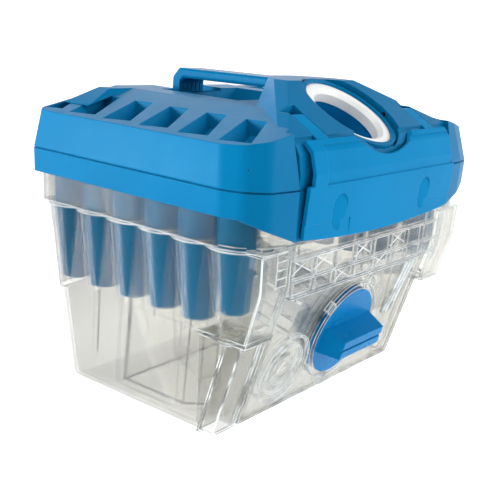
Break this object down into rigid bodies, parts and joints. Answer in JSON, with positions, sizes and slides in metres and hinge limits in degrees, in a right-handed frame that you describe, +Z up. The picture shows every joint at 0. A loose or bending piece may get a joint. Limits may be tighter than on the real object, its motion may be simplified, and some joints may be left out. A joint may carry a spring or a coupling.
{
  "type": "vacuum cleaner dust box",
  "caption": "Clear vacuum cleaner dust box under a hinged-latch blue lid with rows of cyclone cones, an angled hose port, a carrying handle and a twist knob on the front.",
  "frame": {"origin": "centre of the face the clear tub rests on", "axes": "+X to the right, -Y towards the front with the latch flap and knob, +Z up"},
  "size_m": [0.245, 0.1716, 0.1894],
  "materials": {
    "clear_shell": "clear, polished, injection moulded",
    "clear_inner": "clear, polished, slightly warm",
    "lid_blue": "satin gloss moulded",
    "cone_blue": "satin moulded",
    "flap_blue": "satin gloss moulded",
    "knob_blue": "satin gloss moulded",
    "handle_blue": "satin gloss moulded",
    "collar_blue": "satin moulded",
    "duct_blue": "satin moulded",
    "seal_white": "matte silicone",
    "rubber_black": "matte rubber",
    "screw_steel": "plain steel",
    "screen_grey": "matte, perforated"
  },
  "bodies": {
    "tub": {"dust_tub": "clear_shell", "front_panel": "clear_shell", "latch_rail": "clear_shell", "panel_boss": "clear_shell", "swirl_vanes": "clear_shell", "knob_collar": "clear_shell", "corner_post": "clear_shell", "chamber_wall": "clear_inner", "lid_gasket": "rubber_black"},
    "lid": {"lid_frame": "lid_blue", "cyclone_left_1": "cone_blue", "cyclone_left_2": "cone_blue", "cyclone_left_3": "cone_blue", "cyclone_left_4": "cone_blue", "cyclone_left_5": "cone_blue", "cyclone_left_6": "cone_blue", "cyclone_right_1": "cone_blue", "cyclone_right_2": "cone_blue", "cyclone_right_3": "cone_blue", "cyclone_right_4": "cone_blue", "cyclone_right_5": "cone_blue", "cyclone_right_6": "cone_blue", "vortex_finders_left": "cone_blue", "vortex_finders_right": "cone_blue", "lid_cover": "lid_blue", "cover_screws": "screw_steel", "port_collar": "collar_blue", "port_seal": "seal_white", "port_duct": "duct_blue", "carry_handle": "handle_blue", "flap_pin_left": "screw_steel", "flap_pin_right": "screw_steel"},
    "flap": {"latch_flap": "flap_blue"},
    "insert_carrier": {"filter_o_ring": "rubber_black"},
    "insert": {"filter_knob": "knob_blue", "filter_screen": "screen_grey", "screen_cap": "knob_blue"}
  },
  "joints": [
    {"name": "lid_lift", "type": "slide", "parent": "tub", "child": "lid", "axis": [0, 0, 1], "range_m": [0, 0.09]},
    {"name": "flap_hinge", "type": "hinge", "parent": "lid", "child": "flap", "pos_m": [0, -0.061, 0.1702], "axis": [-1, 0, 0], "range_deg": [0, 75]},
    {"name": "insert_pull", "type": "slide", "parent": "tub", "child": "insert_carrier", "axis": [0, -0.9664, -0.2571], "range_m": [0, 0.095]},
    {"name": "knob_turn", "type": "hinge", "parent": "insert_carrier", "child": "insert", "pos_m": [0, -0.06732, 0.0399], "axis": [0, -0.9664, -0.2571], "range_deg": [0, 90]}
  ]
}
